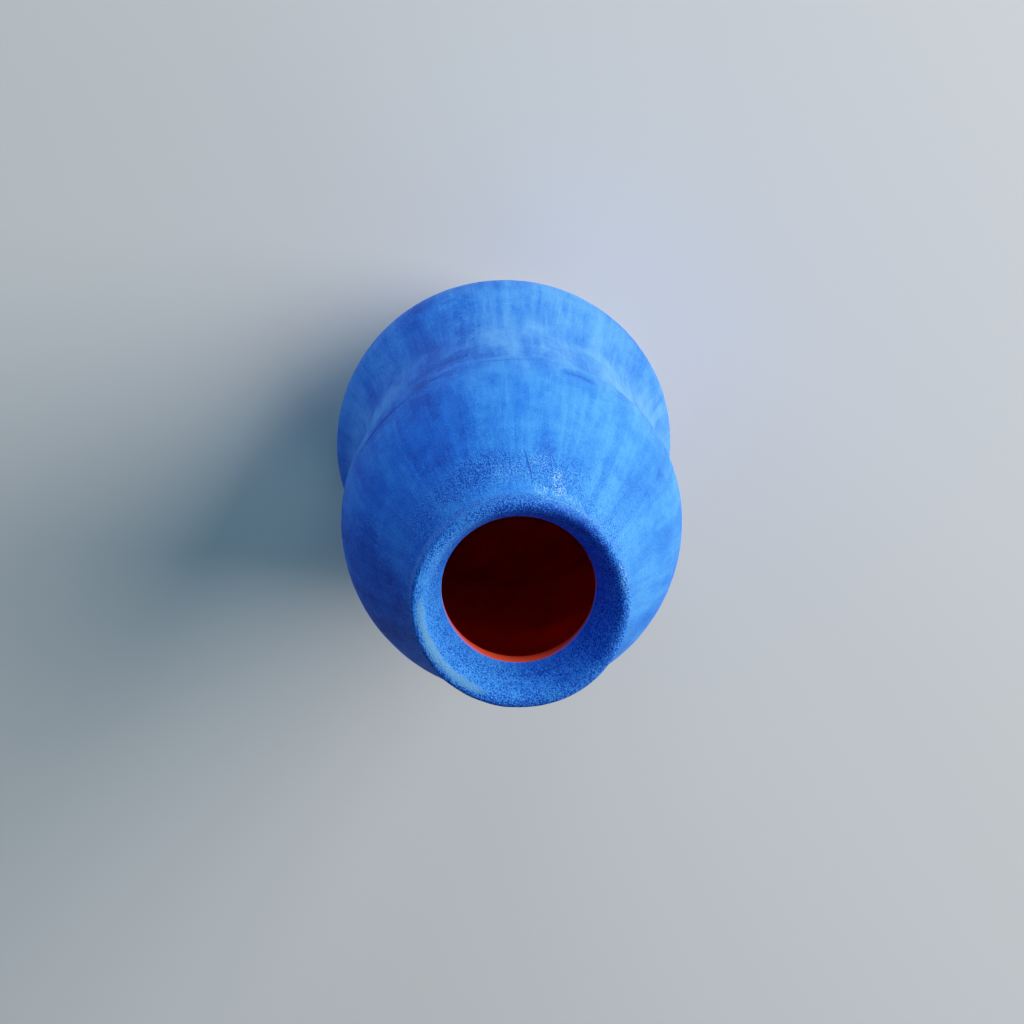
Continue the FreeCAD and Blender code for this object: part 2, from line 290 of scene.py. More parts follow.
# Out of round: sides of the shape, share of the radius, and turn and twist in radians
OUT_OF_ROUND = ((2, 0.0016, -0.8, 1.3), (3, 0.0009, 2.1, -2.0))
LIP_DIPS = ((0.07, 2, 0.6), (0.04, 5, 1.9))  # depth, number round the lip, turn in radians
LIP_SHARE = 0.9  # share of the height above which the lip dips

# Strokes round the vase: middle and reach in degrees, height, and climb over the reach
SCRATCHES = [
    (298, 8.0, 72.6, -3.0),
    (321, 16.0, 74.6, 1.2),
    (248, 7.0, 74.6, -0.5),
    (272, 12.0, 71.8, 0.4),
    (295, 20.0, 56.6, 0.3),
    (262, 16.0, 50.0, -0.6),
]
SCRATCH_WIDTH = 0.55
SCRATCH_DEPTH = 0.07


def uneven(around, along, cells, pitch, seed):
    """Smooth noise from -1 to 1 that closes up round the axis, by cells round it and a pitch."""
    random = np.random.default_rng(seed)
    down = along / pitch
    rows = int(np.max(down)) + 3
    lattice = random.uniform(-1.0, 1.0, (rows, cells))
    across = (around % 1.0) * cells
    column = np.floor(across).astype(int)
    row = np.floor(down).astype(int)
    u = across - column
    v = down - row
    u = u * u * (3 - 2 * u)
    v = v * v * (3 - 2 * v)
    column %= cells
    following = (column + 1) % cells
    above = lattice[row, column] * (1 - u) + lattice[row, following] * u
    below = lattice[row + 1, column] * (1 - u) + lattice[row + 1, following] * u
    return above * (1 - v) + below * v


def grid(profile):
    """Turn and length for every point of a turned profile, as two arrays of one shape."""
    return np.broadcast_arrays(TURNS[None, :], profile.along[:, None])


def turned(profile, rise):
    """A profile turned about Z, with each point so far out of the surface, in millimetres."""
    facing = profile.facing[:, None]
    radius = profile.x[:, None] + rise * np.cos(facing)
    height = profile.z[:, None] + rise * np.sin(facing)
    angle = TURNS * 2 * math.pi
    height = np.broadcast_to(height, radius.shape)
    return np.stack([radius * np.cos(angle), radius * np.sin(angle), height], axis=-1)


def hand_thrown(points):
    """Points moved as by a potter's hands: a little out of round, and the lip a little uneven."""
    angle = np.arctan2(points[..., 1], points[..., 0])
    share = points[..., 2] / HEIGHT
    shrink = 1.0
    for sides, amount, turn, twist in OUT_OF_ROUND:
        shrink = shrink - amount * (1 - np.cos(sides * angle + turn + twist * share))
    moved = points.copy()
    moved[..., 0] *= shrink
    moved[..., 1] *= shrink
    dip = sum(depth * (1 - np.cos(angle * count + turn)) for depth, count, turn in LIP_DIPS)
    moved[..., 2] -= dip * np.clip(share - LIP_SHARE, 0, 1) / (1 - LIP_SHARE)
    return moved


def lumps(around, along, kind):
    """Smooth lumps of one kind, in millimetres."""
    return kind.rise * uneven(around, along, kind.cells, kind.pitch, kind.seed)


def throwing_rings(profile, kind):
    """Shallow grooves that climb the wall as a screw does, in millimetres."""
    around, along = grid(profile)
    climbing = along + around * kind.pitch
    stray = RING_STRAY * uneven(around, along, STRAY_CELLS, STRAY_PITCH, kind.seed)
    main = np.sin(2 * math.pi * climbing / kind.pitch + stray)
    fine = uneven(around * 0, climbing, 1, kind.pitch / FINE_PARTS, kind.seed + 1)
    return kind.rise * ((1 - FINE_SHARE) * main + FINE_SHARE * fine)


def ease(value, low, high):
    """0 below low, 1 above high, and smooth between."""
    share = np.clip((value - low) / (high - low), 0, 1)
    return share * share * (3 - 2 * share)


def closed_mesh(name, rings, first_pole=None, last_pole=None):
    """A mesh through rings of points. Without poles the last ring joins the first."""
    count, width, _ = rings.shape
    points = list(rings.reshape(-1, 3))
    column = np.arange(width)
    following = (column + 1) % width
    faces = []
    last = count if first_pole is None else count - 1
    for row in range(last):
        here = row * width
        there = ((row + 1) % count) * width
        quads = np.stack(
            [here + column, there + column, there + following, here + following], 1
        )
        faces.extend(quads.tolist())
    if first_pole is not None:
        for pole, row in ((first_pole, 0), (last_pole, count - 1)):
            tip = len(points)
            points.append(np.array(pole))
            here = row * width
            fan = [[here + a, here + b, tip] for a, b in zip(column, following)]
            faces.extend(fan if row else [corners[::-1] for corners in fan])
    mesh = bpy.data.meshes.new(name)
    mesh.from_pydata([tuple(p) for p in np.array(points) * MM], [], faces)
    mesh.update()
    return mesh


def show(name, mesh, node, material):
    """An object for a mesh with a material, attached to the root body in place of a CAD node, which
    it hides.
    """
    if signed_volume(mesh) < 0:
        mesh.flip_normals()
    mesh.polygons.foreach_set("use_smooth", [True] * len(mesh.polygons))
    mesh.set_sharp_from_angle(angle=SHARP)
    mesh.materials.append(material)
    piece = bpy.data.objects.new(name, mesh)
    bpy.context.scene.collection.objects.link(piece)
    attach(piece, "root")
    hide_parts(node)
    return piece


def signed_volume(mesh):
    """A closed mesh's volume, which is below zero if its faces look inward."""
    mesh.calc_loop_triangles()
    points = np.empty(len(mesh.vertices) * 3)
    mesh.vertices.foreach_get("co", points)
    corners = np.empty(len(mesh.loop_triangles) * 3, dtype=np.int32)
    mesh.loop_triangles.foreach_get("vertices", corners)
    a, b, c = points.reshape(-1, 3)[corners].reshape(-1, 3, 3).transpose(1, 0, 2)
    return float(np.einsum("ij,ij->i", a, np.cross(b, c)).sum()) / 6


def end_rounding(distance, radius):
    """How far a coat's rounded end falls below its surface, by distance from the end."""
    inset = np.clip(1 - distance / radius, 0, 1)
    return radius * (1 - np.sqrt(1 - inset**2))


def scratches(around, height):
    """Shallow strokes left in the wet glaze round the vase, from 0 to 1 at their middles."""
    angle = (around % 1.0) * 360
    total = np.zeros(np.broadcast_shapes(around.shape, height.shape))
    for middle, reach, level, climb in SCRATCHES:
        across = (angle - middle + 180) % 360 - 180
        path = level + climb * across / reach
        end = 1 - ease(np.abs(across), 0.5 * reach, reach)
        total += end * np.exp(-(((height - path) / SCRATCH_WIDTH) ** 2))
    return total


def hidden_surface(run, face, last, spacing):
    """The clay's side of a coat, or the clay under it, from the glaze line to a last facing."""
    under = trace(run, face, GLAZE_LINE, last, spacing)
    return turned(under, np.full(grid(under)[0].shape, -GLAZE))


def make_outer_glaze(material):
    """The dry blue coat."""
    profile = trace(OUTER_RUN, OUTSIDE, GLAZE_LINE, GLAZE_EDGE, OUTER_STEP)
    around, along = grid(profile)
    height = profile.z[:, None]
    lip = ease(height, *LIP_EDGE)
    rise = throwing_rings(profile, OUTER_RINGS) * (1 - (1 - LIP_RINGS_SHARE) * lip)
    rise += lumps(around, along, BRUSH_RIDGES) * (1 - lip)
    rise += lumps(around, along, BROAD_LUMPS)
    rise += lumps(around, along, SMALL_LUMPS)
    rise += lumps(around, along, LIP_GRIT) * lip
    rise -= SCRATCH_DEPTH * scratches(around, height)
    rise -= OUTER_SINK
    rise *= np.minimum(along / OUTER_START, 1)
    rise -= end_rounding(profile.along[-1] - along, GLAZE)
    rise = np.maximum(rise, -GLAZE)
    clay = hidden_surface(OUTER_RUN, OUTSIDE, GLAZE_EDGE, HIDDEN_STEP)
    rings = hand_thrown(np.concatenate([turned(profile, rise), clay[::-1]]))
    return show("outer_glaze_coat", closed_mesh("outer_glaze_coat", rings), "outer_glaze", material)


def make_inner_glaze(material):
    """The glossy red coat, from the throat to the middle of the vase's floor."""
    profile = trace(INNER_RUN, INSIDE, GLAZE_LINE, UP, INNER_STEP)
    around, along = grid(profile)
    rise = throwing_rings(profile, INNER_RINGS) + lumps(around, along, INNER_LUMPS) - INNER_SINK
    rise *= np.minimum(along / INNER_START, 1)
    edge = profile.x[-1]
    depth = profile.z[-1]
    floor = between(Vector((edge, depth)), Vector((LAST_RING, depth)), FLOOR_STEP)
    radius = np.array([spot.x for spot in floor])
    floor_profile = make_profile(floor, [UP] * len(floor))
    floor_rise = rise[-1:] * ease(radius, 0, edge)[:, None]
    floor_rise = floor_rise + throwing_rings(floor_profile, FLOOR_RINGS)
    finished = [turned(profile, rise), turned(floor_profile, floor_rise)]
    clay = hidden_surface(INNER_RUN, INSIDE, UP, HIDDEN_STEP)
    rings = hand_thrown(np.concatenate([clay[::-1]] + finished))
    mesh = closed_mesh("inner_glaze_coat", rings, (0, 0, depth - GLAZE), (0, 0, depth))
    return show("inner_glaze_coat", mesh, "inner_glaze", material)


def make_clay_body(material):
    """The clay, bare from the blue coat's edge down over the foot ring and under the foot."""
    clay_turn = LOWER_TURN.radius - GLAZE
    turn_end = -math.acos((FOOT_RADIUS - LOWER_TURN.x) / clay_turn)
    corner = point(LOWER_TURN, turn_end) - step(turn_end, GLAZE)
    ring_top = point(RING_OUTER, LEVEL_OUT)
    wall = [corner] + between(corner, ring_top, FOOT_STEP)
    ring = trace([RING_OUTER, STRAIGHT, RING_INNER], OUTSIDE, LEVEL_OUT, LEVEL_IN, FOOT_STEP)
    recess_edge = Vector((FOOT_RADIUS - RING_WIDTH, RECESS))
    inner_wall = between(point(RING_INNER, LEVEL_IN), recess_edge, FOOT_STEP)
    recess = between(recess_edge, Vector((LAST_RING, RECESS)), RECESS_STEP)
    places = wall + [Vector(p) for p in zip(ring.x, ring.z)][1:] + inner_wall + recess
    facings = [LEVEL_OUT] * len(wall) + list(ring.facing[1:])
    facings += [LEVEL_IN] * len(inner_wall) + [DOWN] * len(recess)
    foot = make_profile(places, facings)
    inside = hidden_surface(INNER_RUN, INSIDE, UP, HIDDEN_STEP)
    outside = hidden_surface(OUTER_RUN, OUTSIDE, turn_end, HIDDEN_CLAY_STEP)
    trimmed = turned(foot, throwing_rings(foot, FOOT_RINGS) - FOOT_SINK)
    rings = hand_thrown(np.concatenate([inside[::-1], outside[1:-1], trimmed]))
    floor_level = INNER_LOWER_TURN.z - INNER_LOWER_TURN.radius - GLAZE
    mesh = closed_mesh("clay_foot_and_wall", rings, (0, 0, floor_level), (0, 0, RECESS))
    return show("clay_foot_and_wall", mesh, "clay_body", material)


# ---- Materials ----


class Graph:
    """A material's nodes."""

    def __init__(self, name):
        self.material = bpy.data.materials.new(name)
        self.material.use_nodes = True
        self.nodes = self.material.node_tree.nodes
        self.links = self.material.node_tree.links
        self.nodes.clear()

    def put(self, socket, value):
        """Give a socket a value, or join it to another node's socket."""
        if isinstance(value, bpy.types.NodeSocket):
            self.links.new(value, socket)
        else:
            socket.default_value = value

    def node(self, kind, inputs, **settings):
        """A node with its settings and inputs."""
        made = self.nodes.new(kind)
        for key, value in settings.items():
            setattr(made, key, value)
        for key, value in inputs.items():
            self.put(made.inputs[key], value)
        return made

    def math(self, operation, *values):
        """A number from numbers."""
        return self.node("ShaderNodeMath", dict(enumerate(values)), operation=operation).outputs[0]

    def times(self, value, other):
        """The product of two numbers."""
        return self.math("MULTIPLY", value, other)

    def plus(self, total, value, weight):
        """A number plus another one by a weight."""
        return self.math("MULTIPLY_ADD", value, weight, total)

    def sway(self, total, noise, weight):
        """A number that a noise moves up and down by a weight."""
        return self.plus(total, self.math("SUBTRACT", noise, 0.5), weight)

    def vector(self, operation, *values):
        """A vector from vectors."""
        made = self.node("ShaderNodeVectorMath", dict(enumerate(values)), operation=operation)
        return made.outputs[0]

    def join(self, x, y, z):
        """A vector from three numbers."""
        return self.node("ShaderNodeCombineXYZ", {0: x, 1: y, 2: z}).outputs[0]

    def noise(self, vector, scale, detail=2.0, roughness=0.5, distortion=0.0):
        """Noise about 0.5."""
        inputs = {"Vector": vector, "Scale": scale, "Detail": detail}
        inputs.update({"Roughness": roughness, "Distortion": distortion})
        return self.node("ShaderNodeTexNoise", inputs).outputs[0]

    def span(self, value, low, high, start=0.0, end=1.0):
        """A number that goes smoothly from start to end as value goes from low to high."""
        inputs = {"Value": value, 1: low, 2: high, 3: start, 4: end}
        made = self.node("ShaderNodeMapRange", inputs, interpolation_type="SMOOTHSTEP")
        return made.outputs[0]

    def mix(self, factor, first, second):
        """A colour between two."""
        made = self.nodes.new("ShaderNodeMix")
        made.data_type = "RGBA"
        self.put(made.inputs[0], factor)
        self.put(made.inputs[6], first)
        self.put(made.inputs[7], second)
        return made.outputs[2]

    def surface(self, base, roughness, relief, depth, **fixed):
        """The finished surface, with relief to a depth in metres, and with fixed settings."""
        bump = self.node("ShaderNodeBump", {"Strength": 1.0, "Distance": depth, "Height": relief})
        shader = self.nodes.new("ShaderNodeBsdfPrincipled")
        self.put(shader.inputs["Base Color"], base)
        self.put(shader.inputs["Roughness"], roughness)
        self.put(shader.inputs["Normal"], bump.outputs[0])
        for key, value in fixed.items():
            shader.inputs[key.replace("_", " ")].default_value = value
        output = self.nodes.new("ShaderNodeOutputMaterial")
        self.links.new(shader.outputs[0], output.inputs[0])
        return self.material


NOISE_SLANT = (0.7, 0.4, 1.1)  # turns the noises, so that their cells don't line up with the vase
MARK_FULL, MARK_ENDS = 0.5, 1.1  # shares of a mark's reach where it starts to fade and is gone


class Place:
    """Where a point of the vase is, as sockets, in millimetres and degrees."""

    def __init__(self, graph):
        self.graph = graph
        coordinates = graph.nodes.new("ShaderNodeTexCoord")
        self.spot = graph.vector("MULTIPLY", coordinates.outputs["Object"], (1 / MM,) * 3)
        split = graph.node("ShaderNodeSeparateXYZ", {0: self.spot})
        x, y, self.height = split.outputs
        flat = graph.join(x, y, 0.0)
        self.radius = graph.node("ShaderNodeVectorMath", {0: flat}, operation="LENGTH").outputs[1]
        self.way = graph.vector("NORMALIZE", flat)
        angle = graph.times(graph.math("ARCTAN2", y, x), math.degrees(1))
        self.round = graph.join(self.radius, angle, self.height)
        aslant = {"Vector": self.spot, "Rotation": NOISE_SLANT}
        self.aslant = graph.node("ShaderNodeMapping", aslant).outputs[0]
        self.ragged = graph.noise(self.aslant, scale=0.9, detail=4.0, roughness=0.7)

    def mark(self, angle, radius, height, wide, deep, tall, rag, lean=0.0):
        """1 inside a rounded patch with ragged edges, and 0 outside it.

        The patch is centred at an angle in degrees, a radius and a height, and reaches so many
        degrees round the axis, and so many millimetres in and out and up and down. It leans so
        many degrees round the axis for every millimetre up.
        """
        graph = self.graph
        turn = (angle + 180) % 360 - 180
        offset = graph.vector("SUBTRACT", self.round, (radius, turn, height))
        if lean:
            above = graph.math("SUBTRACT", self.height, height)
            aside = graph.join(0.0, graph.times(above, lean), 0.0)
            offset = graph.vector("SUBTRACT", offset, aside)
        scaled = graph.vector("MULTIPLY", offset, (1 / deep, 1 / wide, 1 / tall))
        far = graph.node("ShaderNodeVectorMath", {0: scaled}, operation="LENGTH").outputs[1]
        edge = graph.plus(-rag, self.ragged, rag * 2)
        return graph.span(graph.math("ADD", far, edge), MARK_ENDS, MARK_FULL)

    def marks(self, rows):
        """The sum of several marks, each by its strength, at most 1."""
        total = 0.0
        for strength, *shape in rows:
            total = self.graph.plus(total, self.mark(*shape), strength)
        return self.graph.math("MINIMUM", total, 1.0)


def colour(red, green, blue):
    """An opaque colour, in linear light."""
    return (red, green, blue, 1.0)


# Marks of the brush and the glaze, and patches of painted shade and painted light, placed round the
# vase. Each row is a strength, the angle, the radius and the height of its middle, its reach in
# degrees round the axis and in millimetres in and out and up and down, how ragged it is and, for
# some, how it leans. A strength below 0 takes away from the marks that it overlaps.
HEAVY_GLAZE_AND_PAINTED_SHADING_MARKS = [
    (0.85, 294, 21.6, 102.8, 12, 4, 3.2, 0.9),
    (0.75, 281, 22.8, 100.4, 8, 4, 3.0, 0.9),
    (0.5, 308, 21.0, 103.8, 9, 4, 3.0, 0.9),
    (0.45, 239, 23.5, 98.6, 8, 4, 4.0, 1.0),
    (0.35, 256, 24.0, 97.5, 8, 4, 5.0, 1.0),
    (0.3, 240, 29.0, 86.5, 6, 4, 7.0, 0.9),
    (0.5, 300, 31.0, 82.0, 4, 4, 6.5, 0.9),
    (0.4, 309, 32.0, 80.0, 5, 4, 8.0, 0.9),
    (0.3, 276, 30.0, 84.0, 3, 4, 8.0, 0.9),
    # The next two rows are painted shade over the lip's crest
    (1.0, 242, 18.8, 117.8, 26, 2.5, 2.5, 0.6),
    (0.9, 272, 19.0, 117.2, 22, 3, 3, 0.6),
    # The next three rows, below 0, are painted light on the lip's crest and funnel
    (-0.6, 322, 17.6, 116.8, 40, 4, 4, 0.3),
    (-0.5, 0, 18.4, 117.6, 34, 3, 3, 0.3),
    (-0.4, 80, 16.8, 115.8, 36, 3, 3, 0.6),
    # The next three rows darken the side away from the key light: painted shade, the first of them
    # partly heavier glaze too
    (1.0, 16, 27.0, 92.0, 30, 9, 20, 0.7),
    (0.7, 302, 28.0, 86.0, 20, 9, 24, 0.6),
    (0.9, 304, 31.0, 46.0, 24, 8, 36, 0.5),
    (0.25, 279, 32.0, 46.0, 12, 8, 36, 0.7),
    # The next three rows are painted shade along the upper belly's widest turn, where it turns away
    (0.6, 320, 32.6, 74.5, 17, 3, 3.5, 0.8),
    (0.8, 298, 32.8, 73.0, 9, 2.5, 3.0, 0.6),
    (0.8, 248, 32.8, 74.6, 8, 2.5, 2.6, 0.6),
    (1.0, 4, 26.2, 93.8, 10, 3, 3.0, 0.8),
    (0.7, 354, 27.5, 91.0, 9, 3, 3.6, 0.9),
    (0.5, 296, 34.5, 22.1, 9, 3, 6.0, 1.0),
    (0.4, 288, 30.4, 37.4, 8, 3, 4.0, 1.0),
    (0.3, 262, 32.4, 29.1, 9, 3, 6.0, 1.0),
]
LINE_AND_PAINTED_SHADE_MARKS = [
    (0.8, 265.3, 21.5, 102.9, 0.75, 5.0, 4.4, 0.15, -0.6),
    (0.9, 106, 15.3, 112.8, 19, 0.9, 0.45, 0.5),
    (0.8, 86, 16.0, 115.0, 9, 0.8, 0.40, 0.5),
    (0.6, 118, 16.6, 116.2, 12, 0.8, 0.5, 0.7),
    # The rows from here on are painted shade: dark lines along the upper belly's widest turn, over
    # the lip's crest and along a stroke on the waist
    (0.8, 298, 32.8, 72.6, 7.0, 2, 0.7, 0.4, -0.2),
    (1.0, 321, 32.8, 74.8, 15.0, 2, 1.2, 0.5),
    (0.9, 241, 18.8, 118.0, 24, 1.8, 1.8, 1.0),
    (0.8, 248, 32.8, 74.6, 6.0, 2, 0.7, 0.4),
    (0.4, 272, 32.8, 71.8, 12.0, 2, 0.6, 0.7),
    (0.4, 295, 30.3, 56.6, 16.0, 2, 0.8, 0.5),
]
POWDER_AND_PAINTED_LIGHT_MARKS = [
    (1.0, 250.5, 20.7, 104.3, 4.0, 3, 2.8, 1.0),
    (1.0, 247, 19.6, 106.5, 4.0, 3, 1.8, 1.0),
    (0.8, 257, 19.0, 107.6, 5.0, 3, 1.4, 1.2),
    (0.25, 276, 21.0, 103.6, 9.0, 3, 2.2, 1.4),
    (0.3, 260, 22.3, 101.5, 7.0, 3, 3.5, 1.4),
    (0.4, 245, 19.3, 107.2, 16.0, 3, 1.0, 1.0),
    (0.6, 196, 19.3, 118.0, 9.0, 1.2, 1.5, 1.4),
    # This row is painted light: a paler funnel where light would fall
    (0.3, 318, 16.5, 115.5, 34.0, 3, 5, 0.8),
    (0.8, 240, 20.1, 114.6, 24.0, 0.8, 1.2, 1.0),
]
THIN_MARKS = [
    (0.8, 8, 17.7, 118.0, 15, 1.3, 1.3, 0.5),
    (1.0, 30, 17.7, 118.0, 18, 1.4, 1.3, 0.5),
    (0.9, 54, 17.7, 118.0, 18, 1.2, 1.3, 0.5),
]
LAPPED_MARKS = [
    (1.0, 350, 14.2, 109.6, 75, 3.0, 1.3, 0.1),
    (1.0, 168, 14.2, 109.4, 52, 3.0, 1.3, 0.1),
]
GRAINY_MARKS = [
    (1.0, 288, 21.5, 103.0, 26, 6, 6.0, 0.6),
    (1.0, 252, 21.5, 103.5, 20, 6, 5.0, 0.6),
    (0.8, 320, 20.5, 104.5, 22, 6, 4.5, 0.6),
    (0.8, 216, 20.0, 106.5, 24, 6, 3.0, 0.6),
]

# Heights between which the blue coat's look changes
LIP_BAND = (109.5, 112.5)
SANDY_BAND = (90.0, 106.0)
# The next three set where painted sheen, a paler and greyer blue, lies: on the waist and lower
# belly, weaker near the base
PAINTED_SHEEN_BAND = (84.0, 50.0)
BASE_BAND = (20.0, 38.0)
BASE_SHEEN_SHARE = 0.55

BRUSH_TURNS = 30.0  # scale of the brushing round the vase, whatever the radius
BRUSH_LENGTH = 0.12  # and up it: the less, the longer the strokes
USUAL_TONE = 0.66

DEEP_BLUE = colour(0.0012, 0.040, 0.38)
MIDDLE_BLUE = colour(0.0085, 0.118, 0.76)
PALE_BLUE = colour(0.034, 0.232, 0.98)
# The paler, greyer blue of the painted sheen
PAINTED_SHEEN_BLUE = colour(0.110, 0.350, 1.0)
# Pale powdery specks and painted glints
POWDER_AND_GLINT_BLUE = colour(0.30, 0.60, 1.0)
CELADON = colour(0.088, 0.240, 0.39)


def outer_material():
    """Dry blue glaze: soft brushing and clouds, a sandy grain, heavier and thinner spots, and
    painted shade, painted light and painted sheen in places.
    """
    g = Graph("dry_blue_glaze")
    place = Place(g)
    lip = g.span(place.height, *LIP_BAND)
    sandy = g.span(place.height, *SANDY_BAND)
    above_base = g.span(place.height, *BASE_BAND, start=BASE_SHEEN_SHARE)
    # Painted sheen: a paler, greyer blue on the waist and lower belly
    painted_sheen_band = g.times(g.span(place.height, *PAINTED_SHEEN_BAND), above_base)
    around = g.vector("MULTIPLY", place.way, (BRUSH_TURNS, BRUSH_TURNS, 0.0))
    rise = g.join(0.0, 0.0, g.times(place.height, BRUSH_LENGTH))
    brushed = g.vector("ADD", around, rise)
    broad = g.noise(brushed, scale=0.22, detail=3.0, roughness=0.5, distortion=0.8)
    fine = g.noise(brushed, scale=0.9, detail=3.0, roughness=0.55, distortion=0.8)
    clouds = g.noise(place.aslant, scale=0.09, detail=3.0, roughness=0.5, distortion=0.4)
    patches = g.noise(place.aslant, scale=0.32, detail=6.0, roughness=0.66, distortion=0.3)
    grain = g.noise(place.aslant, scale=3.7, detail=1.0, roughness=0.6)
    sand = g.noise(place.aslant, scale=5.5, detail=2.0, roughness=0.6)

    # Patches: heavy glaze with painted shade and painted light, lines with painted shade, powder
    # with painted light, thin glaze and grainy glaze
    heavy_glaze_and_painted_shading = place.marks(HEAVY_GLAZE_AND_PAINTED_SHADING_MARKS)
    lines_and_painted_shade = place.marks(LINE_AND_PAINTED_SHADE_MARKS)
    powder_and_painted_light = place.marks(POWDER_AND_PAINTED_LIGHT_MARKS)
    thin = place.marks(THIN_MARKS)
    grainy = place.marks(GRAINY_MARKS)

    # The tone runs from deep blue, below 0, through middle blue to pale blue, above 1.
    tone = g.sway(USUAL_TONE, broad, weight=1.0)
    tone = g.sway(tone, clouds, weight=0.95)
    tone = g.sway(tone, fine, weight=0.6)
    tone = g.sway(tone, patches, weight=g.plus(0.75, painted_sheen_band, weight=-0.35))
    tone = g.plus(tone, heavy_glaze_and_painted_shading, weight=-0.34)
    tone = g.plus(tone, powder_and_painted_light, weight=0.15)
    base = g.mix(g.span(tone, -0.05, 0.55), DEEP_BLUE, MIDDLE_BLUE)
    base = g.mix(g.span(tone, 0.45, 1.05), base, PALE_BLUE)
    # More painted sheen where the tone is paler
    painted_sheen = g.times(painted_sheen_band, g.span(tone, 0.2, 1.1, start=0.04, end=0.57))
    base = g.mix(painted_sheen, base, PAINTED_SHEEN_BLUE)

    # The grain: pale specks on its tops, partly painted highlight, and deep blue in its hollows,
    # partly painted shade, most on the lip.
    rough = g.plus(g.plus(0.15, sandy, weight=0.25), lip, weight=0.60)
    rough = g.plus(rough, grainy, weight=0.50)
    specks_and_painted_highlights = g.times(g.span(grain, 0.51, 0.60), rough)
    base = g.mix(g.math("MINIMUM", specks_and_painted_highlights, 1.0), base, PALE_BLUE)
    pit_edge = g.plus(g.plus(0.485, lip, weight=0.02), heavy_glaze_and_painted_shading, weight=0.05)
    pits_and_painted_shade = g.times(g.span(g.math("SUBTRACT", pit_edge, grain), 0.0, 0.06), rough)
    base = g.mix(g.math("MINIMUM", pits_and_painted_shade, 1.0), base, DEEP_BLUE)

    # Deep blue lines, some of them painted shade along the upper belly's widest turn and over the
    # crest
    base = g.mix(g.times(lines_and_painted_shade, 0.7), base, DEEP_BLUE)
    # Pale specks where the glaze is powdery, and faint painted glints on the grain's tops elsewhere
    glints = g.times(g.span(grain, 0.55, 0.64), g.plus(0.02, powder_and_painted_light, weight=0.75))
    base = g.mix(glints, base, POWDER_AND_GLINT_BLUE)
    worn = g.times(thin, g.span(grain, 0.66, 0.36, start=0.35, end=0.85))
    base = g.mix(worn, base, CELADON)

    relief = g.plus(g.times(grain, rough), sand, weight=0.35)
    relief = g.plus(relief, heavy_glaze_and_painted_shading, weight=-0.2)
    relief = g.plus(relief, lines_and_painted_shade, weight=-0.5)
    relief = g.plus(relief, fine, weight=0.25)
    roughness = g.span(grain, 0.3, 0.7, start=0.80, end=0.62)
    return g.surface(base, roughness, relief, depth=0.0003, IOR=1.25)


# Painted light: the red coat is painted brighter between these heights towards the mouth, where
# light falls in
LIT_MOUTH_BAND = (100.0, 106.0)  # heights between which the red coat brightens towards the mouth
DEEP_RED = colour(0.84, 0.026, 0.009)
CLOUDY_RED = colour(0.88, 0.036, 0.013)
# The brighter red of the painted light at the mouth
LIT_MOUTH_RED = colour(0.98, 0.070, 0.022)
FLECK_RED = colour(0.45, 0.012, 0.004)
LAPPED_BLUE = colour(0.030, 0.200, 0.90)


def inner_material():
    """Glossy red glaze, with painted light making it brighter at the mouth, where blue glaze laps
    over part of its edge.
    """
    g = Graph("glossy_red_glaze")
    place = Place(g)
    clouds = g.noise(place.spot, scale=0.1, detail=3.0, roughness=0.5, distortion=0.3)
    flecks = g.noise(place.spot, scale=1.4, detail=2.0, roughness=0.5)
    base = g.mix(g.span(clouds, 0.35, 0.7), DEEP_RED, CLOUDY_RED)
    base = g.mix(g.span(place.height, *LIT_MOUTH_BAND), base, LIT_MOUTH_RED)
    base = g.mix(g.span(flecks, 0.66, 0.8, end=0.5), base, FLECK_RED)
    base = g.mix(place.marks(LAPPED_MARKS), base, LAPPED_BLUE)
    relief = g.plus(clouds, flecks, weight=0.1)
    roughness = g.span(clouds, 0.3, 0.7, start=0.40, end=0.50)
    return g.surface(base, roughness, relief, depth=0.0003, Specular_IOR_Level=0.5)


CLAY_BUFF = colour(0.52, 0.42, 0.32)
CLAY_PALE = colour(0.66, 0.56, 0.45)
CLAY_SHADE = colour(0.44, 0.34, 0.25)
CLAY_GROG = colour(0.24, 0.15, 0.09)


def clay_material():
    """Bare buff clay, with grog and trimming lines."""
    g = Graph("bare_buff_clay")
    place = Place(g)
    ringed = g.join(g.times(place.radius, 2.2), 0.0, place.height)
    rings = g.noise(ringed, scale=1.0, detail=3.0)
    grog = g.noise(place.spot, scale=3.2, detail=3.0, roughness=0.7)
    clouds = g.noise(place.spot, scale=0.2, detail=3.0, roughness=0.5)
    base = g.mix(g.span(clouds, 0.3, 0.7), CLAY_BUFF, CLAY_PALE)
    base = g.mix(g.span(rings, 0.4, 0.7, end=0.35), base, CLAY_SHADE)
    base = g.mix(g.span(grog, 0.62, 0.75, end=0.8), base, CLAY_GROG)
    relief = g.plus(grog, rings, weight=0.7)
    roughness = g.span(grog, 0.3, 0.7, start=0.9, end=0.75)
    return g.surface(base, roughness, relief, depth=0.00012)


FLOOR_PALE = colour(0.63, 0.64, 0.65)
FLOOR_SHADE = colour(0.60, 0.61, 0.62)


def floor_material():
    """Plain pale matt floor."""
    g = Graph("pale_floor")
    coordinates = g.nodes.new("ShaderNodeTexCoord")
    spread = g.noise(coordinates.outputs["Object"], scale=3.0, detail=3.0, roughness=0.5)
    base = g.mix(spread, FLOOR_SHADE, FLOOR_PALE)
    return g.surface(base, 0.8, spread, depth=0.0001)


# ---- Stage, light and camera ----

FLOOR_RADIUS = 6.0
FLOOR_SIDES = 96

